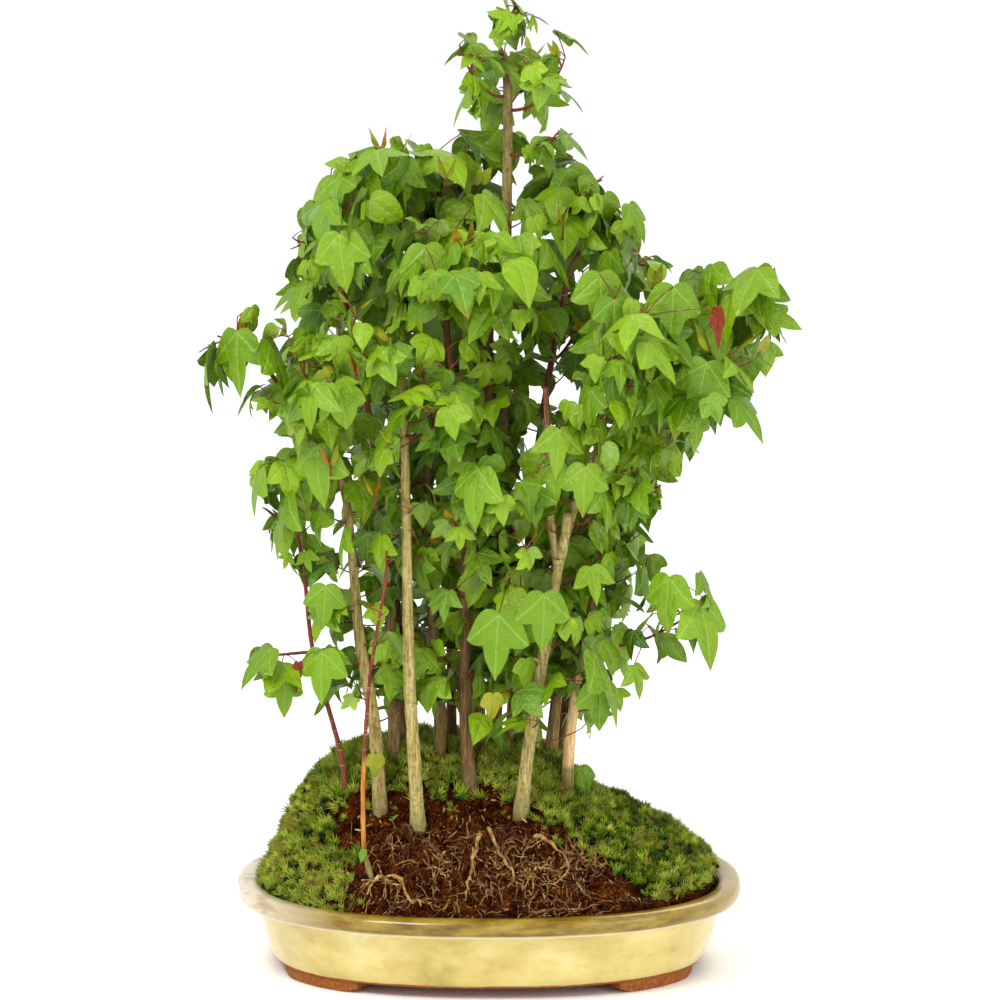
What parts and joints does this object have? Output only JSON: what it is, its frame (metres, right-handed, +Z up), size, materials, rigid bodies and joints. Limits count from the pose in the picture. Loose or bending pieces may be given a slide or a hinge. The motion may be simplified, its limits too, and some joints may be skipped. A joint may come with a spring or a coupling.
{
  "type": "bonsai tree in a pot",
  "caption": "Group planting of young trident maples with leafy shoots, on a mossy soil mound in an oval glazed tray with feet.",
  "frame": {"origin": "on the surface the tray stands on, below the middle of the whole planting's box", "axes": "+Z up, +X to the right along the tray's long side, +Y to the back; the side of the mound with bare soil faces -Y"},
  "size_m": [0.4444, 0.285, 0.6899],
  "materials": {
    "glaze": "gloss",
    "screen": "matte",
    "soil": "matte",
    "moss": "matte",
    "bark": "matte",
    "young_bark": "satin",
    "root": "matte",
    "leaf": "satin"
  },
  "bodies": {
    "root": {"drain_screen_left": "screen", "drain_screen_right": "screen", "moss_back": "moss", "moss_left": "moss", "moss_right": "moss", "pot": "glaze", "root_centre": "root", "root_front": "root", "root_middle": "root", "root_right": "root", "root_sapling": "root", "shoot_back_dark": "leaf", "shoot_crown_back": "leaf", "shoot_crown_left": "leaf", "shoot_crown_low": "leaf", "shoot_crown_right": "leaf", "shoot_crown_tip": "leaf", "shoot_front_left": "leaf", "shoot_front_middle": "leaf", "shoot_front_right": "leaf", "shoot_left_arm": "leaf", "shoot_left_arm_front": "leaf", "shoot_left_back": "leaf", "shoot_left_low": "leaf", "shoot_left_upper": "leaf", "shoot_left_upper_back": "leaf", "shoot_left_whip": "leaf", "shoot_middle_front": "leaf", "shoot_middle_top": "leaf", "shoot_neck_right": "leaf", "shoot_right_arm": "leaf", "shoot_right_arm_front": "leaf", "shoot_right_back": "leaf", "shoot_right_low": "leaf", "shoot_right_torn": "leaf", "shoot_right_upper": "leaf", "shoot_right_upper_back": "leaf", "shoot_shoulder_back": "leaf", "shoot_shoulder_front": "leaf", "shoot_shoulder_left": "leaf", "shoot_shoulder_top": "leaf", "soil_mound": "soil", "tree_apex": "bark", "tree_back_dark": "bark", "tree_front_left": "bark", "tree_front_right": "bark", "tree_left_arm": "bark", "tree_left_back": "bark", "tree_left_middle": "bark", "tree_left_upper": "bark", "tree_left_whip": "young_bark", "tree_middle_back": "bark", "tree_middle_front": "bark", "tree_right_arm": "bark", "tree_right_back": "bark", "tree_right_torn": "bark", "tree_right_upper": "bark", "tree_sapling": "young_bark", "tree_thin": "bark"}
  },
  "joints": []
}
